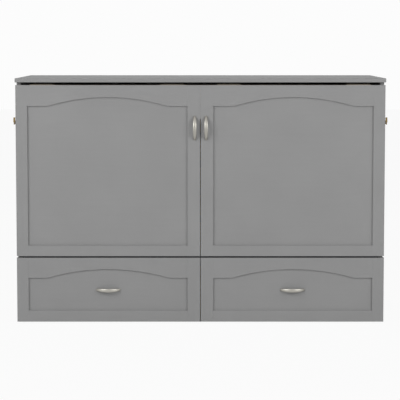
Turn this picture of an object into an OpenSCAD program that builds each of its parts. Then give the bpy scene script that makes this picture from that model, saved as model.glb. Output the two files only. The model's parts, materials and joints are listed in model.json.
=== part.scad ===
// Cabinet bed: a closed chest whose front drops forward and unfolds into the bed deck.
// The front edge of the side panels is the plane "front_y". Z is up, -Y is the front.

/* [Cabinet] */
// Outer width over the two side panels
cabinet_w = 1620; // [1560:1:1680]
// Depth of the lid, front edge to back edge
lid_d = 604; // [580:1:660]
// Thickness of the side panels
side_t = 18; // [16:1:20]
// Width of the stiles and rails of the side and back frames
case_rail = 70; // [50:1:90]
// Thickness of the back frame
back_t = 18; // [15:1:22]
// Thickness of the thin panels in the side and back frames
case_panel_t = 6; // [4:1:7]
// Thickness of the centre divider between the drawers
divider_t = 18; // [15:1:24]
// Height of the floor glides
glide_h = 6; // [4:1:10]
// Radius of the floor glides
glide_r = 8; // [6:1:9]
// Distance of the floor glides from the front and back of the side panels
glide_inset = 50; // [30:1:80]

/* [Lid] */
// Thickness of the lid
lid_t = 18; // [15:1:25]
// How far the lid stands out past each side panel
lid_side_lip = 6; // [4:0.5:10]
// How far the lid stands out in front of the doors
lid_lip = 2; // [1:0.5:6]
// Gap between the doors' top edges and the lid
lid_gap = 12; // [10:1:20]
// Radius of the rounded front edge of the lid
lid_round = 3; // [1:0.5:6]

/* [Fronts] */
// How far the doors and drawer fronts stand out past each side panel
front_lip = 3.5; // [2.5:0.5:5.5]
// Gap between the two doors and between the two drawer fronts
seam = 3; // [2:0.5:5]
// Length of the spacer strip that closes the top of the seam between the doors
spacer_h = 148; // [100:1:200]
// Thickness of the doors and drawer fronts
door_t = 20; // [19:1:24]
// Height of the doors
door_h = 757; // [740:1:800]
// Height of the drawer fronts
drawer_h = 286.4; // [270:0.1:310]
// Gap between the drawer fronts and the floor
floor_gap = 4; // [3:1:8]
// Width of the outer stiles
stile_outer = 51; // [45:1:70]
// Width of the stiles beside the centre seam
stile_inner = 55; // [45:1:70]
// Height of the doors' bottom rails
door_bottom_rail = 47; // [40:1:70]
// Height of the drawer fronts' bottom rails
drawer_bottom_rail = 50; // [40:1:60]
// Height of the top rails at the shoulders of the arch
top_rail = 92; // [80:1:110]
// Rise of the arch over its shoulders
arch_rise = 39; // [25:1:45]
// Radius of the arch on the doors
door_arch_r = 906; // [800:1:1000]
// Radius of the arch on the drawer fronts
drawer_arch_r = 958; // [850:1:1050]
// Radius of the small reverse curve at each end of an arch
arch_end_r = 40; // [30:1:50]
// Depth from the frame's face to the panel's face
recess = 7; // [5:0.5:8]
// Thickness of the front panels
panel_t = 8; // [6:0.5:9]
// How deep a panel sits in its groove
tongue = 8; // [6:0.5:10]

/* [Pulls] */
// Length of a bow pull
pull_len = 108; // [90:1:130]
// Width of a bow pull in the middle
pull_w = 19; // [16:1:24]
// Width of a bow pull at its ends
pull_end_w = 10; // [7:1:14]
// How far a pull stands out
pull_out = 27; // [22:1:34]
// Thickness of the bow in the middle
pull_thick = 7; // [5:0.5:9]
// Distance of a door pull from the centre of the seam
pull_offset = 25; // [20:1:32]
// Height of the middle of the door pulls above the floor
pull_z = 866; // [780:1:920]

/* [Bed deck] */
// Width of the deck bearers
bearer_w = 45; // [35:1:60]
// Thickness of the deck bearers
bearer_t = 22; // [20:1:26]
// Thickness of the slats
slat_t = 12; // [10:1:15]
// Width of a slat
slat_w = 88; // [70:1:95]
// How far the folding decks' slats run past the middles of the outer bearers
slat_end = 52; // [35:1:70]
// Number of slats on each folding deck
slat_count = 6; // [5:1:6]
// Number of slats on the fixed deck inside the cabinet
head_slat_count = 5; // [4:1:5]
// Distance of the outer bearers' middles from the side panels' inner faces
bearer_inset = 94; // [85:1:120]
// Distance of the inner bearers from the middle
bearer_inner = 125; // [100:1:200]
// Space between the two folded decks
deck_gap = 2; // [2:0.5:4]
// Height of the first slat above the fixed deck, folded up
deck_start = 6.6; // [5:0.1:15]

/* [Hinges] */
// Radius of the long steel hinges' knuckles
knuckle_r = 3.2; // [3:0.1:3.6]
// Thickness of the long hinges' leaves
leaf_t = 1.5; // [1:0.1:1.8]
// Number of knuckles of a long hinge
knuckle_count = 25; // [15:2:41]
// Radius of the long hinges' pins
pin_r = 1.4; // [1:0.1:1.7]
// Space beside the knuckles of the long hinges
hinge_play = 0.2; // [0.1:0.05:0.4]
// Height of the base rail's top over the drawer fronts
rail_gap = 0.8; // [0.6:0.1:1.5]
// Radius of the brass fold hinges' knuckles
fold_knuckle_r = 2.75; // [2.5:0.05:3]
// Length of a brass fold hinge
fold_len = 104; // [80:1:120]

/* [Legs] */
// Side of the square folding legs
leg_side = 30; // [24:1:32]
// Distance of the folding legs from the outer bearers' middles
leg_offset = 98; // [60:1:200]
// Distance of the legs' pivot from the free end of the foot deck
leg_inset = 40; // [35:1:60]
// Radius of the legs' pivot tube
tube_r = 8; // [6:0.5:9]
// Height of the rubber pads
pad_h = 3; // [2:0.5:5]

/* [Drawers] */
// Space behind a closed drawer box
box_back_gap = 24; // [10:1:60]
// Thickness of the drawer sides
box_t = 12; // [10:1:15]
// Height of the drawer sides
box_h = 205; // [150:1:210]
// Height of the drawer sides' bottom edge above the floor
box_z = 30; // [28:1:34]
// Space beside a drawer box
box_play = 3; // [2:0.5:5]
// Thickness of the drawer bottoms
bottom_t = 6; // [4:1:9]
// Radius of a drawer wheel
wheel_r = 20; // [17:0.5:21]
// Width of a drawer wheel
wheel_w = 18; // [14:1:24]
// Distance of a wheel's middle from the side of its drawer box
wheel_inset = 68.5; // [45:0.5:150]
// Distance of the wheels' axles behind the drawer fronts
wheel_setback = 45; // [40:1:80]
// Radius of a wheel's axle
axle_r = 4; // [3:0.5:5]
// Thickness of the steel wheel brackets
bracket_t = 2.5; // [2:0.5:4]

/* [Hook latches] */
// Height of the latch studs above the floor
latch_z = 886; // [850:1:950]
// Distance from a hook's pivot to its notch
hook_reach = 40; // [34:1:50]
// Thickness of a hook
hook_t = 3; // [2:0.5:3]
// Angle at which a hook waits above its stud
hook_lift = 12; // [11:1:20]
// Radius of the latch studs' shanks
stud_r = 2.5; // [2:0.1:2.8]

/* [Hidden] */
$fn = 48;
hairline = 0.1;   // joint line between glued pieces
seat = 0.3;       // gap where one moving body rests on another
run = 0.05;       // radial clearance of pins, tubes and axles
groove_play = 0.1;

// heights
drawer_top = floor_gap + drawer_h;
rail_top = drawer_top + rail_gap;
deck_axis_z = rail_top + hinge_play + knuckle_r;
door_z = deck_axis_z + knuckle_r + hinge_play;
door_top = door_z + door_h;
lid_z = door_top + lid_gap;
side_top = lid_z - seat;

// depths: the bounding box from the pulls to the lid's hinge is centred on Y = 0
door_y = -(lid_d - lid_lip + 2 * knuckle_r + hinge_play - pull_out) / 2;
front_y = door_y + door_t;
lid_back = door_y - lid_lip + lid_d;
case_front = front_y + seat;
back_y = lid_back - back_t;
deck_axis_y = door_y + knuckle_r;
lid_axis_y = lid_back + hinge_play + knuckle_r;

// widths
inner_x = cabinet_w / 2 - side_t;
front_w = cabinet_w + 2 * front_lip;
door_w = (front_w - seam) / 2;
window_w = door_w - stile_outer - stile_inner;
window_mid = stile_outer + window_w / 2;

// base rail and the fixed deck
base_rail_t = 20;
base_rail_h = 40;
deck_top_z = deck_axis_z + (front_y + bearer_t + slat_t - deck_axis_y);
head_bearer_top = deck_top_z - slat_t;
head_bearer_w = 22;
head_bearer_h = 40;

// folding decks, folded up behind the doors
deck_low = deck_top_z + deck_start;
fold_y = front_y + bearer_t + slat_t + deck_gap / 2;
foot_slat_y = front_y + bearer_t + slat_t + deck_gap;
foot_bearer_y = foot_slat_y + slat_t;
foot_back = foot_bearer_y + bearer_t;
fold_z = door_top + fold_knuckle_r;
slat_pitch = (door_top - deck_low - slat_w) / (slat_count - 1);
bearer_outer = inner_x - bearer_inset;
slat_len = 2 * (bearer_outer + slat_end);
bearer_xs = [-bearer_outer, -bearer_inner, bearer_inner, bearer_outer];
bearer_tail = 2;

// hinges
knuckle_gap = 0.2;
long_hinge_len = 2 * inner_x - 10;
leaf_w = 34;
fold_leaf_t = 1.5;
fold_pin_r = 1.2;
fold_knuckles = 5;
front_leaf_w = fold_y - door_y - 3;
foot_leaf_w = foot_back - fold_y - 2;

// legs
leg_axis_y = foot_back + leg_side / 2 + 0.5;
leg_axis_z = deck_low + leg_inset;
open_fold_z = deck_axis_z + fold_y - deck_axis_y;
leg_reach = open_fold_z - (leg_axis_y - fold_y) - 0.5;
leg_x = bearer_outer - leg_offset;
tube_wall = 1.5;
tube_end = 15;
tube_len = 2 * (bearer_outer + tube_end);
brace_side = 20;
brace_at = 0.8;   // share of the leg's reach at which the crossbar sits
pad_r = leg_side / 2 - 2;
bracket_w = 26;
leg_bracket_end = 12;

// drawers
drawer_play_x = inner_x - box_play;
box_x0 = divider_t / 2 + box_play;
box_mid = (box_x0 + drawer_play_x) / 2;
box_len = back_y - front_y - box_back_gap;
wheel_x = (drawer_play_x - box_x0) / 2 - wheel_inset;
runner_w = box_t + box_play;
runner_h = 15;
bottom_z = wheel_r * 2 + 2 * bracket_t + 1;
wheel_y = front_y + wheel_setback;
plate_len = 30;
ear_r = 10;
axle_z = wheel_r;
axle_end = 1.5;
fork_gap = 1;
hub_r = axle_r + 4;
tyre_t = 4;
dish = 2;
tyre_edge = 1;
bottom_groove = 5;
lower_edge = 8;   // how much lower the box's sides reach than its front and back
// a drawer pull sits midway between its panel's bottom edge and the top of the arch
drawer_pull_z = floor_gap + (drawer_bottom_rail + drawer_h - top_rail + arch_rise) / 2;

// hook latches
stud_y = front_y - door_t / 2;
hook_y = stud_y + hook_reach;
hook_x = front_w / 2 + 1.5;
hook_play = 0.2;
hook_h = 10;
hook_end = 12;
eye_r = 8;
notch_r = stud_r + 0.5;
tab_t = 2.5;
tab_h = 22;
tab_out = 8;
stud_len = hook_x - front_w / 2 + hook_t + 1;
stud_head_r = 5;
stud_head_t = 3;
hook_screw_r = 3;
screw_boss_r = 6;
screw_head_r = 6.5;
screw_head_t = 2.5;

// ---- outlines ----

// The arch from left to right: a small reverse curve, the main arc and a reverse curve again.
function arch(shoulder, rise, radius, end_r) =
    let (
        turn = acos((radius - rise + end_r) / (radius + end_r)),
        foot = (radius + end_r) * sin(turn)
    )
    concat(
        [for (i = [0:4]) let (a = turn * i / 4)
            [-foot + end_r * sin(a), shoulder + end_r - end_r * cos(a)]],
        [for (i = [1:35]) let (a = -turn + 2 * turn * i / 36)
            [radius * sin(a), shoulder + rise - radius + radius * cos(a)]],
        [for (i = [4:-1:0]) let (a = turn * i / 4)
            [foot - end_r * sin(a), shoulder + end_r - end_r * cos(a)]]
    );

// The opening of an arched frame, grown all round by "grow".
function arched_window(w, low, shoulder, radius, grow) =
    concat(
        [[-w / 2 - grow, low - grow], [-w / 2 - grow, shoulder + grow]],
        arch(shoulder + grow, arch_rise, radius + grow, arch_end_r - grow),
        [[w / 2 + grow, shoulder + grow], [w / 2 + grow, low - grow]]
    );

function box_window(x0, x1, low, high, grow) =
    [[x0 - grow, low - grow], [x0 - grow, high + grow],
     [x1 + grow, high + grow], [x1 + grow, low - grow]];

// ---- shared pieces ----

// One stile or rail, lying flat with its outer face up, cut by the openings and their grooves.
module rail_piece(x0, x1, low, high, t, lip, groove, windows, grooves) {
    difference() {
        linear_extrude(t)
            difference() {
                translate([x0, low]) square([x1 - x0, high - low]);
                for (w = windows) polygon(w);
            }
        for (g = grooves)
            translate([0, 0, t - lip - groove]) linear_extrude(groove) polygon(g);
    }
}

// Moves an outline that is centred on its opening to its place in the frame.
function shifted(points, dx) = [for (p = points) [p[0] + dx, p[1]]];

// A door or drawer front lying flat: two stiles, a bottom rail and an arched top rail.
module arched_frame(h, bottom_rail, radius) {
    shoulder = h - top_rail;
    window = shifted(arched_window(window_w, bottom_rail, shoulder, radius, 0), window_mid);
    groove = shifted(arched_window(window_w, bottom_rail, shoulder, radius, tongue), window_mid);
    x1 = stile_outer;
    x2 = door_w - stile_inner;
    pieces = [[0, x1 - hairline, 0, h], [x2 + hairline, door_w, 0, h],
              [x1, x2, 0, bottom_rail], [x1, x2, shoulder, h]];
    for (p = pieces)
        rail_piece(p[0], p[1], p[2], p[3], door_t, recess, panel_t, [window], [groove]);
}

module arched_panel(h, bottom_rail, radius) {
    edge = tongue - groove_play;
    outline = arched_window(window_w, bottom_rail, h - top_rail, radius, edge);
    translate([window_mid, 0, door_t - recess - panel_t + groove_play])
        linear_extrude(panel_t - groove_play) polygon(outline);
}

// Stands a flat front up at the front of the cabinet, on the left, or mirrored on the right.
module stand_front(z, right) {
    mirror([right ? 1 : 0, 0, 0])
        translate([-front_w / 2, front_y, z]) rotate([90, 0, 0]) children();
}

// One leaf of a hinge along X with its axis on the origin. The leaf lies below the axis.
module hinge_leaf(len, count, own, r, play, t, w, bore_r) {
    step = len / count;
    difference() {
        union() {
            difference() {
                translate([-len / 2, seat, -r - play]) cube([len, w - seat, t]);
                for (i = [0:count - 1])
                    if (i % 2 != own)
                        translate([-len / 2 + i * step - knuckle_gap, 0, -r - play - 1])
                            cube([step + 2 * knuckle_gap, r + 2 * knuckle_gap, t + 2]);
            }
            for (i = [0:count - 1])
                if (i % 2 == own)
                    translate([-len / 2 + i * step + knuckle_gap, 0, 0])
                        rotate([0, 90, 0]) cylinder(r = r, h = step - 2 * knuckle_gap);
        }
        translate([-len / 2 - 1, 0, 0]) rotate([0, 90, 0]) cylinder(r = bore_r, h = len + 2);
    }
}

module pin_along_x(len, r) {
    translate([-len / 2, 0, 0]) rotate([0, 90, 0]) cylinder(r = r, h = len);
}

// ---- bow pull ----

pull_stations = 20;
pull_sides = 7;
pull_foot = 0.84;   // share of the length at which the bow's underside meets its seat
pull_end = 3;
pull_bend = 2.2;
pull_crown = 0.94;
pull_rim = 0.8;

function pull_top(t) = pull_end + (pull_out - pull_end) * (1 - pow(abs(t), pull_bend));
function pull_low(t) = (pull_out - pull_thick) * (1 - pow(abs(t) / pull_foot, pull_bend));
function pull_half(t) = (pull_end_w + (pull_w - pull_end_w) * (1 - t * t)) / 2;
function pull_ring(t) =
    let (mid = (pull_top(t) + pull_low(t)) / 2, half = (pull_top(t) - pull_low(t)) / 2)
    concat(
        [for (j = [0:pull_sides]) let (x = 1 - 2 * j / pull_sides)
            [t * pull_len / 2, x * pull_half(t), max(mid + half * sqrt(1 - pull_crown * x * x), pull_rim)]],
        [for (j = [0:pull_sides]) let (x = -1 + 2 * j / pull_sides)
            [t * pull_len / 2, x * pull_half(t), max(mid - half * sqrt(1 - pull_crown * x * x), 0)]]
    );

// A bow pull lying on the plane Z = 0, long side along X.
module bow_pull() {
    ring = 2 * pull_sides + 2;
    points = [for (i = [0:pull_stations]) each pull_ring(-1 + 2 * i / pull_stations)];
    skin = [for (i = [0:pull_stations - 1]) for (j = [0:ring - 1])
        [i * ring + j, i * ring + (j + 1) % ring,
         (i + 1) * ring + (j + 1) % ring, (i + 1) * ring + j]];
    first = [for (j = [0:ring - 1]) ring - 1 - j];
    last = [for (j = [0:ring - 1]) pull_stations * ring + j];
    polyhedron(points = points, faces = concat(skin, [first], [last]));
}

module door_pull(right) {
    mirror([right ? 0 : 1, 0, 0])
        translate([pull_offset, door_y, pull_z]) rotate([90, 0, 0]) rotate([0, 0, 90]) bow_pull();
}

// ---- cabinet ----

side_len = lid_back - case_front;
side_h = side_top - glide_h;
case_lip = (side_t - case_panel_t) / 2;
side_tongue = 8;

module side_frame() {
    x1 = case_rail;
    x2 = side_len - case_rail;
    window = box_window(x1, x2, case_rail, side_h - case_rail, 0);
    groove = box_window(x1, x2, case_rail, side_h - case_rail, side_tongue);
    pieces = [[0, x1 - hairline, 0, side_h], [x2 + hairline, side_len, 0, side_h],
              [x1, x2, 0, case_rail], [x1, x2, side_h - case_rail, side_h]];
    translate([inner_x, case_front, glide_h]) rotate([90, 0, 90])
        for (p = pieces)
            rail_piece(p[0], p[1], p[2], p[3], side_t, case_lip, case_panel_t, [window], [groove]);
}

module side_panel() {
    edge = side_tongue - groove_play;
    outline = box_window(case_rail, side_len - case_rail, case_rail, side_h - case_rail, edge);
    translate([inner_x + case_lip + groove_play / 2, case_front, glide_h]) rotate([90, 0, 90])
        linear_extrude(case_panel_t - groove_play) polygon(outline);
}

module left_side_frame() { color("#939393") mirror([1, 0, 0]) side_frame(); }
module left_side_panel() { color("#8c8c8c") mirror([1, 0, 0]) side_panel(); }
module right_side_frame() { color("#939393") side_frame(); }
module right_side_panel() { color("#8c8c8c") side_panel(); }

back_w = 2 * inner_x - 2 * hairline;
back_lip = (back_t - case_panel_t) / 2;
back_mid = case_rail / 2;
function back_window(grow, s) =
    s < 0
        ? box_window(-back_w / 2 + case_rail, -back_mid, case_rail, side_h - case_rail, grow)
        : box_window(back_mid, back_w / 2 - case_rail, case_rail, side_h - case_rail, grow);

module back_frame() {
    windows = [back_window(0, -1), back_window(0, 1)];
    grooves = [back_window(side_tongue, -1), back_window(side_tongue, 1)];
    end = back_w / 2;
    inner = end - case_rail;
    low = case_rail + hairline;
    high = side_h - case_rail - hairline;
    pieces = [[-end, -inner - hairline, 0, side_h], [inner + hairline, end, 0, side_h],
              [-inner, inner, 0, case_rail], [-inner, inner, side_h - case_rail, side_h],
              [-back_mid, back_mid, low, high]];
    color("#939393") translate([0, lid_back, glide_h]) rotate([90, 0, 0])
        for (p = pieces)
            rail_piece(p[0], p[1], p[2], p[3], back_t, back_lip, case_panel_t, windows, grooves);
}

module back_panels() {
    color("#8c8c8c") for (s = [-1, 1])
        translate([0, lid_back - back_lip - groove_play / 2, glide_h]) rotate([90, 0, 0])
            linear_extrude(case_panel_t - groove_play)
                polygon(back_window(side_tongue - groove_play, s));
}

module centre_divider() {
    y0 = case_front + base_rail_t + hairline;
    color("#c9a87c") translate([-divider_t / 2, y0, glide_h])
        cube([divider_t, back_y - hairline - y0, head_bearer_top - glide_h]);
}

module front_base_rail() {
    color("#939393")
        translate([-inner_x + hairline, case_front, rail_top - base_rail_h])
            cube([2 * (inner_x - hairline), base_rail_t, base_rail_h]);
}

module head_bearers() {
    y0 = case_front + base_rail_t;
    color("#c9a87c") for (s = [0, 1]) mirror([s, 0, 0])
        translate([inner_x - head_bearer_w, y0, head_bearer_top - head_bearer_h])
            cube([head_bearer_w - hairline, back_y - hairline - y0, head_bearer_h]);
}

module head_slats() {
    y0 = case_front + 1;
    pitch = (back_y - 1 - y0 - slat_w) / (head_slat_count - 1);
    color("#d8b98a") for (i = [0:head_slat_count - 1])
        translate([-inner_x + 1, y0 + i * pitch, head_bearer_top])
            cube([2 * inner_x - 2, slat_w, slat_t]);
}

module drawer_runners() {
    y0 = case_front + base_rail_t + 5;
    color("#c9a87c") for (s = [0, 1]) mirror([s, 0, 0])
        for (x = [divider_t / 2 + hairline, inner_x - hairline - runner_w])
            translate([x, y0, box_z - seat - runner_h])
                cube([runner_w, back_y - hairline - y0, runner_h]);
}

module floor_glides() {
    near = case_front + glide_inset;
    far = lid_back - glide_inset;
    color("#3a3a3a") for (x = [-1, 0, 1]) for (y = [near, far])
        translate([x * (inner_x + side_t / 2), y, 0]) cylinder(r = glide_r, h = glide_h);
}

module deck_hinge_fixed_leaf() {
    color("#b8b8b4") translate([0, deck_axis_y, deck_axis_z])
        hinge_leaf(long_hinge_len, knuckle_count, 0, knuckle_r, hinge_play, leaf_t, leaf_w,
                   pin_r + run);
}

module deck_hinge_moving_leaf() {
    color("#b8b8b4") translate([0, deck_axis_y, deck_axis_z]) mirror([0, 0, 1])
        hinge_leaf(long_hinge_len, knuckle_count, 1, knuckle_r, hinge_play, leaf_t,
                   door_t - knuckle_r - 1, pin_r + run);
}

module deck_hinge_pin() {
    color("#8f8f8c") translate([0, deck_axis_y, deck_axis_z]) pin_along_x(long_hinge_len, pin_r);
}

module lid_hinge_fixed_leaf() {
    color("#b8b8b4") translate([0, lid_axis_y, lid_z]) rotate([-90, 0, 0])
        hinge_leaf(long_hinge_len, knuckle_count, 0, knuckle_r, hinge_play, leaf_t,
                   leaf_w - 6, pin_r + run);
}

module lid_hinge_moving_leaf() {
    color("#b8b8b4") translate([0, lid_axis_y, lid_z]) mirror([0, 0, 1]) rotate([-90, 0, 0])
        hinge_leaf(long_hinge_len, knuckle_count, 1, knuckle_r, hinge_play, leaf_t,
                   lid_t - 1, pin_r + run);
}

module lid_hinge_pin() {
    color("#8f8f8c") translate([0, lid_axis_y, lid_z]) pin_along_x(long_hinge_len, pin_r);
}

// ---- lid ----

// A board with rounded front edges.
module lid_board() {
    w = cabinet_w + 2 * lid_side_lip;
    y0 = door_y - lid_lip;
    color("#969696") translate([-w / 2, 0, lid_z]) rotate([90, 0, 90]) linear_extrude(w)
        union() {
            translate([y0 + lid_round, 0]) square([lid_d - lid_round, lid_t]);
            translate([y0, lid_round]) square([2 * lid_round, lid_t - 2 * lid_round]);
            for (z = [lid_round, lid_t - lid_round])
                translate([y0 + lid_round, z]) circle(r = lid_round);
        }
}

// ---- front deck ----

module left_door_frame() {
    color("#939393") stand_front(door_z, false) arched_frame(door_h, door_bottom_rail, door_arch_r);
}
module left_door_panel() {
    color("#8f8f8f") stand_front(door_z, false) arched_panel(door_h, door_bottom_rail, door_arch_r);
}
module right_door_frame() {
    color("#939393") stand_front(door_z, true) arched_frame(door_h, door_bottom_rail, door_arch_r);
}
module right_door_panel() {
    color("#8f8f8f") stand_front(door_z, true) arched_panel(door_h, door_bottom_rail, door_arch_r);
}

// A strip in the top of the seam that ties the two doors together.
module seam_spacer() {
    face_gap = 0.5;
    color("#939393")
        translate([-seam / 2 + hairline, door_y + face_gap, door_top - spacer_h])
            cube([seam - 2 * hairline, door_t - face_gap, spacer_h]);
}

module front_deck_bearers() {
    color("#c9a87c") for (x = bearer_xs)
        translate([x - bearer_w / 2, front_y, deck_low - bearer_tail])
            cube([bearer_w, bearer_t, door_top - deck_low + bearer_tail]);
}

module slat_row(y) {
    color("#d8b98a") for (i = [0:slat_count - 1])
        translate([-slat_len / 2, y, deck_low + i * slat_pitch]) cube([slat_len, slat_t, slat_w]);
}

module front_deck_slats() { slat_row(front_y + bearer_t); }
module left_door_pull() { color("#c4c1ba") door_pull(false); }
module right_door_pull() { color("#c4c1ba") door_pull(true); }

module fold_hinge_front_leaves() {
    color("#b59a5c") for (x = bearer_xs)
        translate([x, fold_y, fold_z]) mirror([0, 1, 0])
            hinge_leaf(fold_len, fold_knuckles, 0, fold_knuckle_r, 0, fold_leaf_t,
                       front_leaf_w, fold_pin_r + run);
}

module fold_hinge_pins() {
    color("#a08850") for (x = bearer_xs)
        translate([x, fold_y, fold_z]) pin_along_x(fold_len, fold_pin_r);
}

module latch_studs() {
    color("#b59a5c") for (s = [0, 1]) mirror([s, 0, 0])
        translate([front_w / 2, stud_y, latch_z]) rotate([0, 90, 0]) {
            cylinder(r = stud_r, h = stud_len);
            translate([0, 0, stud_len]) cylinder(r = stud_head_r, h = stud_head_t);
        }
}

// ---- foot deck ----

module foot_deck_bearers() {
    color("#c9a87c") for (x = bearer_xs)
        translate([x - bearer_w / 2, foot_bearer_y, deck_low - bearer_tail])
            cube([bearer_w, bearer_t, door_top - deck_low + bearer_tail]);
}

module foot_deck_slats() { slat_row(foot_slat_y); }

module fold_hinge_foot_leaves() {
    color("#b59a5c") for (x = bearer_xs)
        translate([x, fold_y, fold_z])
            hinge_leaf(fold_len, fold_knuckles, 1, fold_knuckle_r, 0, fold_leaf_t,
                       foot_leaf_w, fold_pin_r + run);
}

// Bearing blocks on the backs of the bearers, bored for the pivot tube.
module leg_brackets() {
    color("#9a9a98") for (x = bearer_xs)
        difference() {
            union() {
                translate([x - bracket_w / 2, foot_back, leg_axis_z - leg_bracket_end])
                    cube([bracket_w, leg_axis_y - foot_back, 2 * leg_bracket_end]);
                translate([x - bracket_w / 2, leg_axis_y, leg_axis_z])
                    rotate([0, 90, 0]) cylinder(r = leg_bracket_end, h = bracket_w);
            }
            translate([x - bracket_w, leg_axis_y, leg_axis_z])
                rotate([0, 90, 0]) cylinder(r = tube_r + run, h = 2 * bracket_w);
        }
}

// ---- folding legs ----

module leg_tube() {
    color("#9a9a98") translate([0, leg_axis_y, leg_axis_z]) difference() {
        pin_along_x(tube_len, tube_r);
        pin_along_x(tube_len + 2, tube_r - tube_wall);
    }
}

module folding_legs() {
    color("#c9a87c") for (x = [-leg_x, leg_x])
        difference() {
            translate([x - leg_side / 2, leg_axis_y - leg_side / 2, leg_axis_z - leg_side / 2])
                cube([leg_side, leg_side, leg_reach - pad_h + leg_side / 2]);
            translate([x - leg_side, leg_axis_y, leg_axis_z]) rotate([0, 90, 0])
                cylinder(r = tube_r + run, h = 2 * leg_side);
        }
}

module leg_crossbar() {
    half = leg_x - leg_side / 2 - hairline;
    color("#c9a87c")
        translate([-half, leg_axis_y - brace_side / 2, leg_axis_z + leg_reach * brace_at])
            cube([2 * half, brace_side, brace_side]);
}

module leg_pads() {
    color("#2c2c2c") for (x = [-leg_x, leg_x])
        translate([x, leg_axis_y, leg_axis_z + leg_reach - pad_h])
            cylinder(r = pad_r, h = pad_h);
}

// ---- drawers, drawn on the right and mirrored to the left ----

module drawer_box() {
    inner = box_x0 + box_t + hairline;
    span = drawer_play_x - box_t - hairline - inner;
    cut = box_t - bottom_groove;
    color("#c9a87c") difference() {
        union() {
            for (x = [box_x0, drawer_play_x - box_t])
                translate([x, front_y + hairline, box_z]) cube([box_t, box_len, box_h]);
            for (y = [front_y + hairline, front_y + hairline + box_len - box_t])
                translate([inner, y, box_z + lower_edge])
                    cube([span, box_t, box_h - lower_edge]);
        }
        translate([box_x0 + cut, front_y + cut, bottom_z])
            cube([drawer_play_x - box_x0 - 2 * cut, box_len - 2 * cut, bottom_t]);
    }
}

module drawer_bottom() {
    edge = box_t - bottom_groove + groove_play;
    color("#cdb48e") translate([box_x0 + edge, front_y + edge, bottom_z + groove_play])
        cube([drawer_play_x - box_x0 - 2 * edge, box_len - 2 * edge, bottom_t - groove_play]);
}

module drawer_pull() {
    color("#c4c1ba") translate([front_w / 2 - window_mid, door_y + recess, drawer_pull_z])
        rotate([90, 0, 0]) bow_pull();
}

module wheel_brackets() {
    ear = wheel_w / 2 + fork_gap;
    color("#9a9a98") for (s = [-1, 1])
        translate([box_mid + s * wheel_x, wheel_y, 0])
            difference() {
                union() {
                    translate([-ear - bracket_t, -plate_len / 2, bottom_z - bracket_t])
                        cube([2 * (ear + bracket_t), plate_len, bracket_t]);
                    for (x = [-ear - bracket_t, ear])
                        translate([x, -ear_r, axle_z])
                            cube([bracket_t, 2 * ear_r, bottom_z - axle_z]);
                    for (x = [-ear - bracket_t, ear])
                        translate([x, 0, axle_z]) rotate([0, 90, 0])
                            cylinder(r = ear_r, h = bracket_t);
                }
                translate([-ear - 2 * bracket_t, 0, axle_z]) rotate([0, 90, 0])
                    cylinder(r = axle_r + run, h = 2 * (ear + 2 * bracket_t));
            }
}

module wheel_axles() {
    color("#8f8f8c") for (s = [-1, 1])
        translate([box_mid + s * wheel_x, wheel_y, axle_z])
            pin_along_x(wheel_w + 2 * fork_gap + 2 * bracket_t + 2 * axle_end, axle_r);
}

module drawer_wheels() {
    hub = wheel_w / 2 + fork_gap - seat;
    web = wheel_w / 2 - dish;
    rim = wheel_w / 2;
    seat_r = wheel_r - tyre_edge - tyre_t;
    half = [[axle_r + run, hub], [hub_r, hub], [hub_r, web], [seat_r, web],
            [seat_r + tyre_edge, rim], [wheel_r - tyre_edge, rim], [wheel_r, rim - tyre_edge]];
    color("#4a4a4a") for (s = [-1, 1])
        translate([box_mid + s * wheel_x, wheel_y, axle_z]) rotate([0, 90, 0])
            rotate_extrude()
                polygon(concat(half, [for (i = [len(half) - 1:-1:0]) [half[i][0], -half[i][1]]]));
}

module left_drawer_frame() {
    color("#8b8b8b") stand_front(floor_gap, false)
        arched_frame(drawer_h, drawer_bottom_rail, drawer_arch_r);
}
module left_drawer_panel() {
    color("#878787") stand_front(floor_gap, false)
        arched_panel(drawer_h, drawer_bottom_rail, drawer_arch_r);
}
module right_drawer_frame() {
    color("#8b8b8b") stand_front(floor_gap, true)
        arched_frame(drawer_h, drawer_bottom_rail, drawer_arch_r);
}
module right_drawer_panel() {
    color("#878787") stand_front(floor_gap, true)
        arched_panel(drawer_h, drawer_bottom_rail, drawer_arch_r);
}
module right_drawer_box() { drawer_box(); }
module right_drawer_bottom() { drawer_bottom(); }
module right_drawer_pull() { drawer_pull(); }
module right_wheel_brackets() { wheel_brackets(); }
module right_wheel_axles() { wheel_axles(); }
module right_drawer_wheels() { drawer_wheels(); }
module left_drawer_box() { mirror([1, 0, 0]) drawer_box(); }
module left_drawer_bottom() { mirror([1, 0, 0]) drawer_bottom(); }
module left_drawer_pull() { mirror([1, 0, 0]) drawer_pull(); }
module left_wheel_brackets() { mirror([1, 0, 0]) wheel_brackets(); }
module left_wheel_axles() { mirror([1, 0, 0]) wheel_axles(); }
module left_drawer_wheels() { mirror([1, 0, 0]) drawer_wheels(); }

// ---- hook latches, on the right and mirrored to the left ----

module hook_screws() {
    boss = hook_x - hook_play - cabinet_w / 2;
    shank = boss + hook_t + 2 * hook_play;
    color("#b59a5c") for (s = [0, 1]) mirror([s, 0, 0])
        translate([cabinet_w / 2, hook_y, latch_z]) rotate([0, 90, 0]) {
            cylinder(r = screw_boss_r, h = boss);
            cylinder(r = hook_screw_r, h = shank + hook_play);
            translate([0, 0, shank]) cylinder(r = screw_head_r, h = screw_head_t);
        }
}

// The hook's outline: an eye, an arm with a notch from below, and a thumb tab at the tip.
module hook_outline() {
    difference() {
        union() {
            circle(r = eye_r);
            translate([0, -hook_h / 2]) square([hook_reach + hook_end, hook_h]);
        }
        circle(r = hook_screw_r + run);
        translate([hook_reach, 0]) circle(r = notch_r);
        translate([hook_reach - notch_r, -hook_h]) square([2 * notch_r, hook_h]);
    }
}

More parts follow.
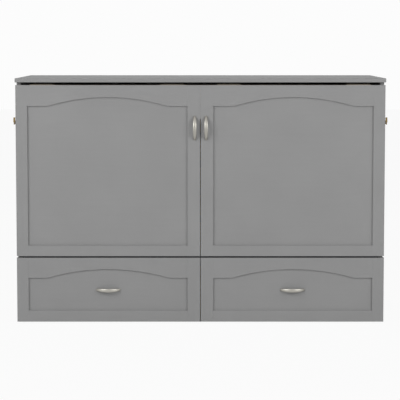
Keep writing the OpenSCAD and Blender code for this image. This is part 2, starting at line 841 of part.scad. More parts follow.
module hook() {
    tip = hook_reach + hook_end;
    color("#b59a5c") translate([hook_x, hook_y, latch_z]) rotate([-hook_lift, 0, 0])
        rotate([90, 0, 90]) mirror([1, 0, 0]) {
            linear_extrude(hook_t) hook_outline();
            translate([tip - tab_t, -hook_h / 2, 0]) cube([tab_t, tab_h, tab_out]);
        }
}

module right_hook() { hook(); }
module left_hook() { mirror([1, 0, 0]) hook(); }

left_side_frame();
left_side_panel();
right_side_frame();
right_side_panel();
back_frame();
back_panels();
centre_divider();
front_base_rail();
head_bearers();
head_slats();
drawer_runners();
floor_glides();
deck_hinge_fixed_leaf();
deck_hinge_pin();
lid_hinge_fixed_leaf();
lid_hinge_pin();
hook_screws();
lid_board();
lid_hinge_moving_leaf();
left_door_frame();
left_door_panel();
right_door_frame();
right_door_panel();
seam_spacer();
deck_hinge_moving_leaf();
front_deck_bearers();
front_deck_slats();
left_door_pull();
right_door_pull();
fold_hinge_front_leaves();
fold_hinge_pins();
latch_studs();
foot_deck_bearers();
foot_deck_slats();
fold_hinge_foot_leaves();
leg_brackets();
leg_tube();
folding_legs();
leg_crossbar();
leg_pads();
left_drawer_frame();
left_drawer_panel();
left_drawer_box();
left_drawer_bottom();
left_drawer_pull();
left_wheel_brackets();
left_wheel_axles();
left_drawer_wheels();
right_drawer_frame();
right_drawer_panel();
right_drawer_box();
right_drawer_bottom();
right_drawer_pull();
right_wheel_brackets();
right_wheel_axles();
right_drawer_wheels();
left_hook();
right_hook();
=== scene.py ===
# %% [markdown]
# # A cabinet bed
# A grey painted chest whose two arched doors are really the underside of a folding bed deck.
# The joinery comes from the frame as measured solids. This script rounds the sharp edges of the
# boards, pads and hooks, makes the pulls and the screw heads anew, and mixes a finish for every
# surface. Everything is in metres and stays where the frame puts it.

# %% Load the frame
import json
import math

import bmesh
import bpy
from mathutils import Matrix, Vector


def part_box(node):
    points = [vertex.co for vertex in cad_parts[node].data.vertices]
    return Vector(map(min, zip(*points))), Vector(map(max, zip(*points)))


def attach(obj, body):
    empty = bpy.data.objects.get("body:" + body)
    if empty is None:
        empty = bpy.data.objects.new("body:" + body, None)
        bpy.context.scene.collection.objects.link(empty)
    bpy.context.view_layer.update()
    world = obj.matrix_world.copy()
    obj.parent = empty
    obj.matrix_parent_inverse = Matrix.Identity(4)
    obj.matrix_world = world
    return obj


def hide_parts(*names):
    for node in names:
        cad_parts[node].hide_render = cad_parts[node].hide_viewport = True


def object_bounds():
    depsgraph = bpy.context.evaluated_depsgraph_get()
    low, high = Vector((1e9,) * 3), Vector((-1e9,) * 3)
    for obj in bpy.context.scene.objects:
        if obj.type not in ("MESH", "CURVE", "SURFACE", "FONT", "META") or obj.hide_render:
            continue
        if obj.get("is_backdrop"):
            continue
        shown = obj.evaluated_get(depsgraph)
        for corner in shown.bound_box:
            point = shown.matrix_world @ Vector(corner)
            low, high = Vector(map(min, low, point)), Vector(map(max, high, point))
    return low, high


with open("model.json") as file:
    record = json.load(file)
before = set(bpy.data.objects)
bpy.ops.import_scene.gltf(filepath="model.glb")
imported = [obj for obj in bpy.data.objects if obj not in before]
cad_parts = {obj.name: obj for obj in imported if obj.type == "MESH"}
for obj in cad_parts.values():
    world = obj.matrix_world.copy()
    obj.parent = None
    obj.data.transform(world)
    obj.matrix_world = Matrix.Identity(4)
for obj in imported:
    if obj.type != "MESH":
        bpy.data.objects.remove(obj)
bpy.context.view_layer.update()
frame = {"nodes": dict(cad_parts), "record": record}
MM = 0.001
HANDS = ("left", "right")
BODY_OF = {node: body for body, nodes in frame["record"]["behaviour"]["bodies"].items()
           for node in nodes}
SLOT_OF = {part["node"]: part["material_slot"] for part in frame["record"]["subparts"]}

# %% [markdown]
# ## Two helpers for finishes
# A painter names a colour by its hex code, which is in sRGB, while a renderer adds up light in
# linear numbers. One function turns the first into the second. A second one adds a node to a
# material with its settings and its links, which keeps each recipe as short as a list.

# %% Helpers for finishes
def linear(code):
    """The linear colour of an sRGB hex code, with alpha 1."""
    channels = [int(code[i:i + 2], 16) / 255 for i in (1, 3, 5)]
    return [c / 12.92 if c <= 0.04045 else ((c + 0.055) / 1.055) ** 2.4 for c in channels] + [1]


def add(tree, kind, inputs=None, **settings):
    """Adds a node. An input is a value, or a (node, output) pair that is linked to it."""
    node = tree.nodes.new(kind)
    for name, value in settings.items():
        setattr(node, name, value)
    for name, value in (inputs or {}).items():
        socket = node.inputs[name]
        if isinstance(value, tuple) and isinstance(value[0], bpy.types.Node):
            tree.links.new(value[0].outputs[value[1]], socket)
        else:
            socket.default_value = value
    return node


def empty_material(name):
    """A material with no nodes, and its node tree."""
    material = bpy.data.materials.new(name)
    material.use_nodes = True
    material.node_tree.nodes.clear()
    return material, material.node_tree


print("grey paint in linear light", [round(c, 3) for c in linear("#939393")])

# %% [markdown]
# ## Eggshell lacquer on primed board
# The chest is sprayed with a grey lacquer that dries to an eggshell sheen. It has three looks at
# once: a cloudy drift of a hand's width where the coat is thicker, very faint streaks along the
# boards, and an orange-peel skin. The real skin repeats every 2 mm, which is too fine to show,
# so it is drawn at 7 mm. The resin has an IOR of 1.5, and the matting powder in it brings the
# roughness up to about 0.65 and takes away half of the shine.

# %% Eggshell lacquer
LACQUER_IOR = 1.5
CLOUD_MM = 220
STREAK_MM = 12
STREAK_DRAW = 12.5                 # how many times longer than wide a streak is
PEEL_MM = 7                        # coarser than the real skin, so that it shows


def drawn_out(axis, times):
    """The scale of a pattern that is drawn out along one axis."""
    return [1 / times if i == axis else 1.0 for i in range(3)]


def eggshell_lacquer(name, along, code, dark_code):
    """Grey eggshell lacquer. "along" is the axis that the boards' streaks follow."""
    material, tree = empty_material(name)
    place = add(tree, "ShaderNodeTexCoord")
    drawn = add(tree, "ShaderNodeMapping",
                {"Vector": (place, "Object"), "Scale": drawn_out(along, STREAK_DRAW)})
    cloud = add(tree, "ShaderNodeTexNoise",
                {"Vector": (place, "Object"), "Scale": 1000 / CLOUD_MM, "Detail": 4.0})
    streak = add(tree, "ShaderNodeTexNoise",
                 {"Vector": (drawn, "Vector"), "Scale": 1000 / STREAK_MM, "Detail": 3.0})
    both = add(tree, "ShaderNodeMath",
               {0: (streak, "Fac"), 1: 0.3, 2: (cloud, "Fac")}, operation="MULTIPLY_ADD")
    spread = add(tree, "ShaderNodeMapRange",
                 {"Value": (both, "Value"), "From Min": 0.4, "From Max": 0.9})
    colour = add(tree, "ShaderNodeMix",
                 {"Factor": (spread, "Result"), "A": linear(dark_code), "B": linear(code)},
                 data_type="RGBA")
    sheen = add(tree, "ShaderNodeMapRange",
                {"Value": (cloud, "Fac"), "To Min": 0.60, "To Max": 0.72})
    peel = add(tree, "ShaderNodeTexNoise",
               {"Vector": (place, "Object"), "Scale": 1000 / PEEL_MM, "Detail": 2.0})
    skin = add(tree, "ShaderNodeBump",
               {"Height": (peel, "Fac"), "Strength": 0.05, "Distance": 0.3 * MM})
    shader = add(tree, "ShaderNodeBsdfPrincipled",
                 {"Base Color": (colour, "Result"), "Roughness": (sheen, "Result"),
                  "Normal": (skin, "Normal"), "IOR": LACQUER_IOR,
                  "Specular IOR Level": 0.25})
    add(tree, "ShaderNodeOutputMaterial", {"Surface": (shader, "BSDF")})
    return material


print("lacquer: clouds", CLOUD_MM, "mm, streaks", STREAK_MM, "mm, skin", PEEL_MM, "mm")

# %% [markdown]
# ## Bare pine and plywood
# The decks, legs and drawer boxes are planed pine with no finish. Pine shows yellow earlywood
# and thinner, darker latewood lines that run along the board and drift. On a flat-sawn board
# they are 3 to 8 mm apart and the fibres are finer than a hair. Both are drawn coarser, at 11
# and 1.6 mm, so that they show from across a room. Noise that is stretched 25 times along the
# grain draws them. The drawers' bottoms are birch plywood, which takes the same recipe in paler
# and calmer colours. Bare wood scatters light, so it is rough, with an IOR of 1.45.

# %% Bare pine and plywood
RING_MM = 11                       # coarser than the real latewood lines, so that they show
FIBRE_MM = 1.6                     # coarser than the real fibres, so that they show
GRAIN_DRAW = 25
WOOD_IOR = 1.45


def planed_wood(name, along, pale, dark):
    """Planed wood whose grain runs along the axis "along"."""
    material, tree = empty_material(name)
    place = add(tree, "ShaderNodeTexCoord")
    drawn = add(tree, "ShaderNodeMapping",
                {"Vector": (place, "Object"), "Scale": drawn_out(along, GRAIN_DRAW)})
    rings = add(tree, "ShaderNodeTexNoise",
                {"Vector": (drawn, "Vector"), "Scale": 1000 / RING_MM, "Detail": 2.0,
                 "Distortion": 0.6})
    fibres = add(tree, "ShaderNodeTexNoise",
                 {"Vector": (drawn, "Vector"), "Scale": 1000 / FIBRE_MM, "Detail": 3.0})
    bands = add(tree, "ShaderNodeMapRange",
                {"Value": (rings, "Fac"), "From Min": 0.35, "From Max": 0.68})
    mixed = add(tree, "ShaderNodeMath",
                {0: (fibres, "Fac"), 1: 0.35, 2: (bands, "Result")}, operation="MULTIPLY_ADD")
    shade = add(tree, "ShaderNodeMapRange",
                {"Value": (mixed, "Value"), "From Min": 0.1, "From Max": 1.3})
    colour = add(tree, "ShaderNodeMix",
                 {"Factor": (shade, "Result"), "A": linear(pale), "B": linear(dark)},
                 data_type="RGBA")
    rough = add(tree, "ShaderNodeMapRange",
                {"Value": (fibres, "Fac"), "To Min": 0.55, "To Max": 0.72})
    pores = add(tree, "ShaderNodeBump",
                {"Height": (fibres, "Fac"), "Strength": 0.25, "Distance": 0.2 * MM})
    shader = add(tree, "ShaderNodeBsdfPrincipled",
                 {"Base Color": (colour, "Result"), "Roughness": (rough, "Result"),
                  "Normal": (pores, "Normal"), "IOR": WOOD_IOR})
    add(tree, "ShaderNodeOutputMaterial", {"Surface": (shader, "BSDF")})
    return material


plywood = planed_wood("birch_plywood", 1, "#dfc9a4", "#cdb084")
print("wood: latewood lines", RING_MM, "mm, fibres", FIBRE_MM, "mm")

# %% [markdown]
# ## Metals
# Five finishes of metal meet here. The pulls are die-cast zinc, nickel plated and brushed along
# their length. A real brush leaves ten lines to the millimetre, and here a line is 1.2 mm wide
# so that it shows. Brackets and screws are bright zinc-plated steel, whose plating blooms into
# a soft patchwork, and the long hinges are the same steel with a black chromate bath over the
# zinc. The latches are dull brass plate, and the fold hinges pale antique brass. A metal's
# colour is its reflection, so the base colour is its tint at normal incidence, and the IOR
# stays at default.

# %% Brushed nickel, zinc plate and brass plate
BRUSH_MM = 1.2                     # coarser than real brush marks, so that they show
BRUSH_DRAW = 25
BLOOM_MM = 8
EVEN = (1, 1, 1)


def plated_metal(name, code, dark_code, smooth, dull, spacing_mm, stretch):
    """A plated metal whose tone and polish vary with a noise of the given spacing."""
    material, tree = empty_material(name)
    place = add(tree, "ShaderNodeTexCoord")
    drawn = add(tree, "ShaderNodeMapping", {"Vector": (place, "Object"), "Scale": stretch})
    marks = add(tree, "ShaderNodeTexNoise",
                {"Vector": (drawn, "Vector"), "Scale": 1000 / spacing_mm, "Detail": 3.0})
    colour = add(tree, "ShaderNodeMix",
                 {"Factor": (marks, "Fac"), "A": linear(dark_code), "B": linear(code)},
                 data_type="RGBA")
    polish = add(tree, "ShaderNodeMapRange",
                 {"Value": (marks, "Fac"), "From Min": 0.3, "From Max": 0.7,
                  "To Min": smooth, "To Max": dull})
    lines = add(tree, "ShaderNodeBump",
                {"Height": (marks, "Fac"), "Strength": 0.12, "Distance": 0.1 * MM})
    shader = add(tree, "ShaderNodeBsdfPrincipled",
                 {"Base Color": (colour, "Result"), "Roughness": (polish, "Result"),
                  "Normal": (lines, "Normal"), "Metallic": 1.0})
    add(tree, "ShaderNodeOutputMaterial", {"Surface": (shader, "BSDF")})
    return material


nickel_upright = plated_metal("brushed_nickel_upright", "#b4b2aa", "#96938c", 0.36, 0.48,
                              BRUSH_MM, drawn_out(2, BRUSH_DRAW))
nickel_level = plated_metal("brushed_nickel_level", "#b4b2aa", "#96938c", 0.36, 0.48,
                            BRUSH_MM, drawn_out(0, BRUSH_DRAW))
zinc = plated_metal("zinc_plated_steel", "#c3c6c8", "#a3a6a8", 0.30, 0.46, BLOOM_MM, EVEN)
black_zinc = plated_metal("black_zinc_plated_steel", "#3f4041", "#2c2d2e", 0.35, 0.5,
                          BLOOM_MM, EVEN)
brass = plated_metal("brass_plate", "#826f4a", "#5f4e30", 0.36, 0.52, BLOOM_MM, EVEN)
pale_brass = plated_metal("antique_brass_plate", "#aea597", "#958b7c", 0.4, 0.55,
                          BLOOM_MM, EVEN)
print("metals: brush marks", BRUSH_MM, "mm, plating bloom", BLOOM_MM, "mm")

# %% [markdown]
# ## Moulded rubber and nylon
# The leg pads are black rubber and the wheels and glides are dark nylon. Both come out of a mould
# with a fine matt texture of about 0.3 mm, drawn here at 2 mm so that it shows. Rubber is rougher
# than nylon, and both have an IOR of about 1.52.

# %% Rubber and nylon
MOULD_MM = 2                       # coarser than the real texture, so that it shows
MOULDED_IOR = 1.52


def moulded(name, code, rough):
    """A moulded plastic or rubber with a fine matt texture."""
    material, tree = empty_material(name)
    place = add(tree, "ShaderNodeTexCoord")
    grain = add(tree, "ShaderNodeTexNoise",
                {"Vector": (place, "Object"), "Scale": 1000 / MOULD_MM, "Detail": 2.0})
    matt = add(tree, "ShaderNodeMapRange",
               {"Value": (grain, "Fac"), "To Min": rough - 0.08, "To Max": rough + 0.08})
    skin = add(tree, "ShaderNodeBump",
               {"Height": (grain, "Fac"), "Strength": 0.2, "Distance": 0.1 * MM})
    shader = add(tree, "ShaderNodeBsdfPrincipled",
                 {"Base Color": linear(code), "Roughness": (matt, "Result"),
                  "Normal": (skin, "Normal"), "IOR": MOULDED_IOR})
    add(tree, "ShaderNodeOutputMaterial", {"Surface": (shader, "BSDF")})
    return material


rubber = moulded("black_rubber", "#1d1d1d", 0.8)
nylon = moulded("dark_nylon", "#34352f", 0.5)
print("moulded finishes", rubber.name, nylon.name)

# %% [markdown]
# ## Which finish goes where
# A table gives every slot of the frame its finish, and a few nodes then get one of their own,
# such as the black long hinges. Wood and lacquer have a direction, though: they follow each
# board's long side. So these come three times, once along each axis. The drawers' fronts get
# a grey one step darker, which is painted shade for the light that falls off towards the floor.

# %% Finish of every node
def three_ways(recipe, name, *colours):
    """The same finish three times, laid along x, y and z."""
    return [recipe(name + "_along_" + "xyz"[axis], axis, *colours) for axis in range(3)]


PINE = three_ways(planed_wood, "planed_pine", "#dcbf94", "#b98e5c")
LACQUER = three_ways(eggshell_lacquer, "eggshell_grey_lacquer", "#939393", "#8f8f8f")
# The drawers' one step darker grey is painted shade, for the light falling off towards the floor.
SHADED_DRAWER_LACQUER = three_ways(eggshell_lacquer, "eggshell_grey_lacquer_drawers",
                            "#929292", "#8e8e8e")
OF_SLOT = {"satin_grey_paint": LACQUER, "zinc_steel": [zinc], "brass": [brass], "nylon": [nylon],
           "bare_pine": PINE, "plywood": [plywood], "rubber": [rubber],
           "brushed_nickel": [nickel_level]}
FINISH = {node: OF_SLOT[slot] for node, slot in SLOT_OF.items()}
for node in FINISH:
    if node.startswith(("deck_hinge", "lid_hinge")):
        FINISH[node] = [black_zinc]
    if node.startswith("fold_hinge"):
        FINISH[node] = [pale_brass]
for hand in HANDS:
    FINISH[hand + "_drawer_frame"] = SHADED_DRAWER_LACQUER
    FINISH[hand + "_drawer_panel"] = SHADED_DRAWER_LACQUER
    FINISH[hand + "_door_pull"] = [nickel_upright]
print("nodes with a finish", len(FINISH))

# %% [markdown]
# ## Along the long side
# One node can hold stiles that stand and rails that lie. Its boards are told apart by walking
# from face to face over the edges that they share, and every board takes the finish of its
# longest side. In the frame's own meshes the flat faces don't share their edges, so there every
# flat face counts by itself, which looks the same on a panel.

# %% Finish on every solid
def boards(shape):
    """The separate parts of a mesh, each as a list of its faces."""
    left = set(shape.faces)
    found = []
    while left:
        stack, board = [left.pop()], []
        while stack:
            face = stack.pop()
            board.append(face)
            near = {f for edge in face.edges for f in edge.link_faces} & left
            left -= near
            stack.extend(near)
        found.append(board)
    return found


def reach(board, axis):
    """Where a board starts and where it ends along one axis."""
    places = [vert.co[axis] for face in board for vert in face.verts]
    return min(places), max(places)


def dress(piece, finishes):
    """Gives a piece its one finish, or each of its boards the one of its longest side."""
    mesh = piece.data
    mesh.materials.clear()
    for finish in finishes:
        mesh.materials.append(finish)
    if len(finishes) == 1:
        return
    shape = bmesh.new()
    shape.from_mesh(mesh)
    for board in boards(shape):
        spans = [end - start for start, end in (reach(board, axis) for axis in range(3))]
        for face in board:
            face.material_index = spans.index(max(spans))
    shape.to_mesh(mesh)
    shape.free()


for node, piece in frame["nodes"].items():
    dress(piece, FINISH[node])
print("finished nodes", len(frame["nodes"]))

# %% [markdown]
# ## Edges round an opening
# The four arched fronts are frames of two stiles and two rails round a panel. To round the
# opening's front edges, they first have to be found among all edges of the frame. Picking them
# by number would break as soon as a size changed, so they are told by their place and
# direction: on the front face, level or not, and inside the outline.

# %% Edges round an opening
HAIR = 0.01 * MM
INSIDE = 1 * MM                    # an edge this far within the outline belongs to the opening


def centre_of(edge):
    """The middle of an edge."""
    return (edge.verts[0].co + edge.verts[1].co) / 2


def front_edges(shape, front_y, level):
    """The edges on the front face that run level, or the ones that don't."""
    found = []
    for edge in shape.edges:
        span = edge.verts[0].co - edge.verts[1].co
        on_front = all(abs(vert.co.y - front_y) < HAIR for vert in edge.verts)
        if on_front and (abs(span.x) > abs(span.z)) == level:
            found.append(edge)
    return found


def rail_edges(shape, low, high):
    """The level edges of the opening, along the bottom rail and the arch."""
    return [edge for edge in front_edges(shape, low.y, True)
            if low.z + INSIDE < centre_of(edge).z < high.z - INSIDE]


print("an opening's edges lie", round(INSIDE / MM, 2), "mm or more inside the outline")

# %% [markdown]
# ## Round-over of an opening
# A router has run round each opening and left a small round-over. The stiles' edges run past
# the opening, so they are first cut where the rails meet them. Then all the edges of the
# opening are bevelled at once, so that the corners join.

# %% Round-over of an opening
ROUTER_MM = 3.5
ROUTER_STEPS = 4


def rout_opening(shape, low, high):
    """Rounds the front edges of an arched frame's opening and tells how many edges it took."""
    heights = [vert.co.z for edge in rail_edges(shape, low, high) for vert in edge.verts]
    sill = min(heights)
    shoulder = min(z for z in heights if z > (low.z + high.z) / 2)
    for z in (sill, shoulder):
        everything = shape.verts[:] + shape.edges[:] + shape.faces[:]
        bmesh.ops.bisect_plane(shape, geom=everything, dist=HAIR, plane_co=(0, 0, z),
                               plane_no=(0, 0, 1))
    stile_edges = [edge for edge in front_edges(shape, low.y, False)
                   if sill < centre_of(edge).z < shoulder
                   and low.x + INSIDE < centre_of(edge).x < high.x - INSIDE]
    opening = rail_edges(shape, low, high) + stile_edges
    bmesh.ops.bevel(shape, geom=opening, offset=ROUTER_MM * MM, segments=ROUTER_STEPS,
                    profile=0.5, affect="EDGES", clamp_overlap=True)
    return len(opening)


print("router", ROUTER_MM, "mm in", ROUTER_STEPS, "steps")

# %% [markdown]
# ## A piece in the place of a node
# The frame's own meshes must not change, so whatever is reshaped gets a new piece that stands
# in for its node: it takes the node's finish, moves with the same body, and hides the node. A
# copy starts from the node's mesh, whose faces are first joined along their edges.

# %% Helpers for a stand-in
WELD = 0.002 * MM                  # corners closer than this are the same corner


def welded(node):
    """The shape of a node with the faces of each board joined along their edges."""
    shape = bmesh.new()
    shape.from_mesh(frame["nodes"][node].data)
    bmesh.ops.remove_doubles(shape, verts=shape.verts, dist=WELD)
    return shape


def link_piece(name, mesh):
    """Puts a mesh into the scene as an object."""
    piece = bpy.data.objects.new(name, mesh)
    bpy.context.scene.collection.objects.link(piece)
    return piece


def stand_in(piece, node):
    """Gives a new piece the finish and body of the node that it stands for, and hides the node.
    """
    dress(piece, FINISH[node])
    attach(piece, BODY_OF[node])
    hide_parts(node)


lid_shape = welded("lid_board")
print("the lid's solid has", len(lid_shape.verts), "corners")
lid_shape.free()

# %% [markdown]
# ## Eased edges
# No board leaves a workshop with a knife edge: sandpaper takes a little off, and that narrow
# round is what catches the light and makes the board look solid. The triangles of a board are
# first merged back into flat faces. Then a bevel rounds only the edges that turn sharply, which
# leaves the arches' shallow facets alone. The rubber pads, the glides and the hooks are treated
# the same way.

# %% Copy with eased edges
SHARP = math.radians(35)           # an edge that turns more than this is rounded
FLAT = math.radians(0.4)           # triangles that turn less than this are one flat face
EASE_STEPS = 2


def eased(node, ease_mm):
    """A copy of a node with its sharp edges rounded, which stands for the node."""
    shape = welded(node)
    bmesh.ops.dissolve_limit(shape, angle_limit=FLAT, verts=shape.verts, edges=shape.edges)
    if node.endswith(("door_frame", "drawer_frame")):
        print(node, "routed edges", rout_opening(shape, *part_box(node)))
    mesh = frame["nodes"][node].data.copy()
    shape.to_mesh(mesh)
    shape.free()
    piece = link_piece(node + "_eased", mesh)
    rounding = piece.modifiers.new("ease", "BEVEL")
    rounding.width = ease_mm * MM
    rounding.segments = EASE_STEPS
    rounding.limit_method = "ANGLE"
    rounding.angle_limit = SHARP
    rounding.use_clamp_overlap = True
    rounding.harden_normals = True
    bpy.context.view_layer.update()
    finished = bpy.data.meshes.new_from_object(
        piece.evaluated_get(bpy.context.evaluated_depsgraph_get()))
    piece.modifiers.clear()
    piece.data = finished
    stand_in(piece, node)
    print(piece.name, "faces", len(finished.polygons))


print("rounds edges sharper than", round(math.degrees(SHARP)), "degrees")

# %% [markdown]
# ## How much comes off
# Slats and legs, which bedding and hands rub along, get two millimetres. The lid and the
# bearers get a little less, and boards that stay inside get one. The painted frames, the hooks,
# the pads and the glides keep crisp lines with less than a millimetre.

# %% Ease the boards
EASE_MM = {"lid_board": 1.5, "head_slats": 2.0, "front_deck_slats": 2.0, "foot_deck_slats": 2.0,
           "front_deck_bearers": 1.5, "foot_deck_bearers": 1.5, "folding_legs": 2.0,
           "leg_crossbar": 1.5, "head_bearers": 1.5, "drawer_runners": 1.0,
           "front_base_rail": 1.0, "centre_divider": 1.0, "left_hook": 0.4, "right_hook": 0.4,
           "leg_pads": 0.8, "floor_glides": 0.8}
for hand in HANDS:
    EASE_MM[hand + "_door_frame"] = 0.35
    EASE_MM[hand + "_drawer_frame"] = 0.35
    EASE_MM[hand + "_side_frame"] = 0.6
    EASE_MM[hand + "_drawer_box"] = 1.0
EASE_MM["back_frame"] = 0.6
for node, ease in EASE_MM.items():
    eased(node, ease)
print("eased pieces", len(EASE_MM))

# %% [markdown]
# ## Bow pulls
# Each pull is a cast bow: widest in the middle, running out to two flat feet. It could be a
# bent cylinder, but its section changes from a round bar to a flat foot, so it is lofted: rings
# across the length, each an oval whose width, top and underside follow simple curves. Beyond
# the foot's start the underside lies on the board, and the tip is rounded off.

# %% Section of a bow
SIDES = 28
SLIM = 0.85                        # width of the finished bar as a share of the solid's
BAR = 7 * MM                       # thickness of the bar in the middle
TIP = 2.8 * MM                     # thickness at the tip of a foot
TIP_WIDTH = 10 * MM
SKIN = 0.4 * MM                    # least height of the bar's top over the board
FOOT = 0.84                        # share of the half length at which the bar meets the board
BOW = 2.2                          # the higher, the longer the bow stays at its full height
SWELL = 3                          # the higher, the longer the bar stays at its full width
BLUNT = 0.7                        # share of its width that a foot keeps at the very tip


def bow_ring(t, length, width, out):
    """The ring at t, from -1 to 1 along a pull: points of (place along, aside, height)."""
    away = abs(t)
    top = TIP + (out - TIP) * (1 - away ** BOW)
    under = (out - BAR) * (1 - (away / FOOT) ** BOW)
    half = (TIP_WIDTH + (width - TIP_WIDTH) * (1 - away ** SWELL)) / 2
    tip_start = 1 - TIP_WIDTH / length
    if away > tip_start:
        past = (away - tip_start) / (1 - tip_start)
        half *= BLUNT + (1 - BLUNT) * math.sqrt(1 - past ** 2)
    middle, swing = (top + under) / 2, (top - under) / 2
    ring = []
    for j in range(SIDES):
        turn = 2 * math.pi * (j + 0.5) / SIDES
        least = SKIN if math.sin(turn) > 0 else 0
        height = max(middle + swing * math.sin(turn), least)
        ring.append((t * length / 2, math.cos(turn) * half, height))
    return ring


print("bar", round(BAR / MM, 1), "mm thick, tips", round(TIP / MM, 1), "mm")

# %% [markdown]
# ## Four pulls from one section
# The rings stand closer together towards the tips, where the shape changes fastest. The loft
# joins each ring to the next with a band of faces and closes the two tips. The door pulls stand
# upright and the drawer pulls lie level, so one function makes both and only swaps two axes.

# %% Loft the four pulls
STATIONS = 72


def piece_from(name, shape):
    """Turns a finished shape into a piece in the scene."""
    mesh = bpy.data.meshes.new(name)
    shape.to_mesh(mesh)
    shape.free()
    return link_piece(name, mesh)


def bow_pull(node, upright):
    """A lofted bow pull in the place of a node, standing out along -Y."""
    low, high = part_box(node)
    middle, size = (low + high) / 2, high - low
    length, width = (size.z, size.x) if upright else (size.x, size.z)
    shape = bmesh.new()
    rows = []
    for i in range(STATIONS + 1):
        t = -math.cos(math.pi * i / STATIONS)
        row = []
        for along, aside, height in bow_ring(t, length, width * SLIM, size.y):
            x, z = (aside, along) if upright else (along, aside)
            row.append(shape.verts.new((x + middle.x, high.y - height, z + middle.z)))
        rows.append(row)
    for a, b in zip(rows, rows[1:]):
        for j in range(SIDES):
            k = (j + 1) % SIDES
            shape.faces.new((a[j], a[k], b[k], b[j]))
    shape.faces.new(rows[0][::-1])
    shape.faces.new(rows[-1])
    bmesh.ops.recalc_face_normals(shape, faces=shape.faces)
    piece = piece_from(node + "_bow", shape)
    piece.data.shade_smooth()
    stand_in(piece, node)
    print(piece.name, [round(v / MM, 1) for v in (length, width * SLIM, size.y)], "mm")


for hand in HANDS:
    bow_pull(hand + "_door_pull", True)
    bow_pull(hand + "_drawer_pull", False)

# %% [markdown]
# ## Screw heads
# Hinge leaves and slats are held by countersunk screws. At arm's length one sees only a low
# round head with a cross in it. A head is a disc of rings whose height is a shallow dome, and
# the points that fall inside the cross are pressed down. A rim and a flat back below the surface
# close it into a solid.

# %% One screw head
HEAD_RINGS = 7
HEAD_SIDES = 24
DOME = 0.45 * MM                   # height of a head's dome
CROSS = 0.35 * MM                  # depth of its cross
ARM_HALF = 0.16                    # half width of the cross's arms, as a share of the radius
ARM_END = 0.62                     # where the arms end, as a share of the radius
RIM = 0.6 * MM                     # how far a head's edge reaches down into the leaf or slat


def head_rows(radius):
    """Rings of points from the middle of a head out to its edge, then the edge of its back."""
    rows = []
    for i in range(HEAD_RINGS + 1):
        r = radius * i / HEAD_RINGS
        row = []
        for j in range(HEAD_SIDES if i else 1):
            angle = 2 * math.pi * j / HEAD_SIDES
            x, y = r * math.cos(angle), r * math.sin(angle)
            rise = DOME * (1 - (r / radius) ** 2)
            near, far = sorted((abs(x), abs(y)))
            if near < ARM_HALF * radius and far < ARM_END * radius:
                rise -= CROSS
            row.append(Vector((x, y, rise)))
        rows.append(row)
    rows.append([spot - Vector((0, 0, RIM)) for spot in rows[-1]])
    return rows


print("points in a screw head", sum(len(row) for row in head_rows(1)))

# %% [markdown]
# ## Groups of heads
# A separate object for each of some two hundred screws would be slow to handle, so one mesh
# holds each group of heads that move together. A kind of screw is a slot, a finish and a
# radius in millimetres.

# %% A group of heads
HINGE_SCREW = ("zinc_steel", black_zinc, 3.2)
FOLD_SCREW = ("brass", pale_brass, 3.4)
SLAT_SCREW = ("zinc_steel", zinc, 3.6)
BACKWARD, FORWARD, UPWARD = (0, 1, 0), (0, -1, 0), (0, 0, 1)


def screw_heads(name, body, screw, places, facing):
    """Low countersunk heads at the places given, facing one way, as one piece."""
    slot, finish, radius_mm = screw
    turn = Vector((0, 0, 1)).rotation_difference(Vector(facing)).to_matrix()
    head = [[turn @ spot for spot in row] for row in head_rows(radius_mm * MM)]
    shape = bmesh.new()
    for place in places:
        rows = [[shape.verts.new(Vector(place) + spot) for spot in row] for row in head]
        shape.faces.new(rows[-1][::-1])
        for j in range(HEAD_SIDES):
            k = (j + 1) % HEAD_SIDES
            shape.faces.new((rows[0][0], rows[1][j], rows[1][k]))
            for a, b in zip(rows[1:], rows[2:]):
                shape.faces.new((a[j], b[j], b[k], a[k]))
    piece = piece_from(name, shape)
    dress(piece, [finish])
    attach(piece, body)
    print(name, len(places))


print("radii in mm:", [screw[2] for screw in (HINGE_SCREW, FOLD_SCREW, SLAT_SCREW)])

# %% [markdown]
# ## Screws of the long hinges
# The lid and the front deck turn on hinges as long as the chest, with small black screws about
# 95 mm apart. The lid's leaves stand upright and face the back, and the deck's fixed leaf lies
# on the base rail. Every place is measured from the edges of the leaf.

# %% Screws of the long hinges
LEAF = 1.5 * MM                    # thickness of a leaf
LEAF_EDGE = 9 * MM                 # from a leaf's free edge to its screws
LID_LEAF_EDGE = 5 * MM             # the same on the lid, whose leaf is narrower
LEAF_END = 30 * MM                 # from a leaf's end to its first screw
LEAF_SCREWS = 17
PROUD = 0.2 * MM                   # how far the base rail's heads stand above their leaf


def leaf_screws(name, body, y, z, facing):
    """A row of screws along a long leaf, at one depth and height."""
    low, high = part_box("lid_hinge_fixed_leaf")
    span = high.x - low.x - 2 * LEAF_END
    xs = [low.x + LEAF_END + span * i / (LEAF_SCREWS - 1) for i in range(LEAF_SCREWS)]
    screw_heads(name, body, HINGE_SCREW, [(x, y, z) for x in xs], facing)


low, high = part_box("lid_hinge_moving_leaf")
leaf_screws("lid_leaf_screws", "lid", low.y + LEAF, high.z - LID_LEAF_EDGE, BACKWARD)
low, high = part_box("lid_hinge_fixed_leaf")
leaf_screws("back_rail_leaf_screws", "cabinet", low.y + LEAF, low.z + LEAF_EDGE, BACKWARD)
low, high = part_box("deck_hinge_fixed_leaf")
leaf_screws("base_rail_leaf_screws", "cabinet", high.y - LEAF_EDGE, low.z + LEAF + PROUD, UPWARD)

# %% [markdown]
# ## Screws of the fold hinges
# Four pale brass hinges join the two decks, one over each pair of bearers. A leaf has four
# screws in two rows on the front deck, and three in one row on the foot deck. The bearers'
# middles are read from the frame, so the screws follow them.

# %% Screws of the fold hinges
FOLD_SCREW_ASIDE = 31 * MM         # from the middle of a leaf to its outer screws
FRONT_ROWS = (9 * MM, 30 * MM)     # from the front leaves' free edge to their two rows


